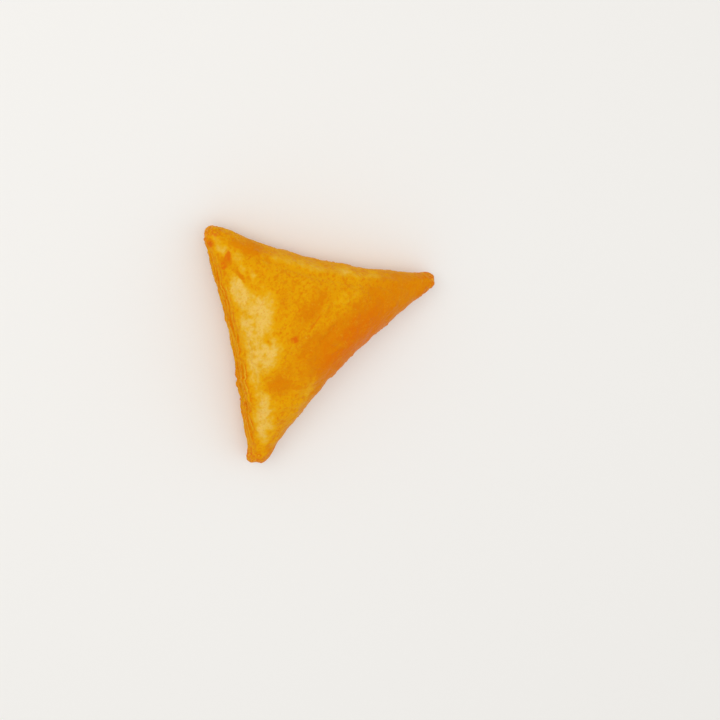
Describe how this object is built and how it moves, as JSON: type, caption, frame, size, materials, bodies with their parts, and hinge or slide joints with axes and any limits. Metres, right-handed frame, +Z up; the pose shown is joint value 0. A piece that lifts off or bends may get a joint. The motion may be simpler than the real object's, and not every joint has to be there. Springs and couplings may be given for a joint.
{
  "type": "samosa",
  "caption": "Triangular fried pastry parcel with inward-bowed folded edges, blunt corners and a domed upper face over its filling.",
  "frame": {"origin": "on the table, under the middle of the pastry's bounding box", "axes": "+X along the long folded edge, away from the layered side, +Y from that edge towards the blunt apex, +Z up out of the domed face"},
  "size_m": [0.1018, 0.0788, 0.0261],
  "materials": {
    "fried_pastry": "satin, lightly oily fried pastry, golden with paler and more orange patches"
  },
  "bodies": {
    "root": {"samosa": "fried_pastry"}
  },
  "joints": []
}
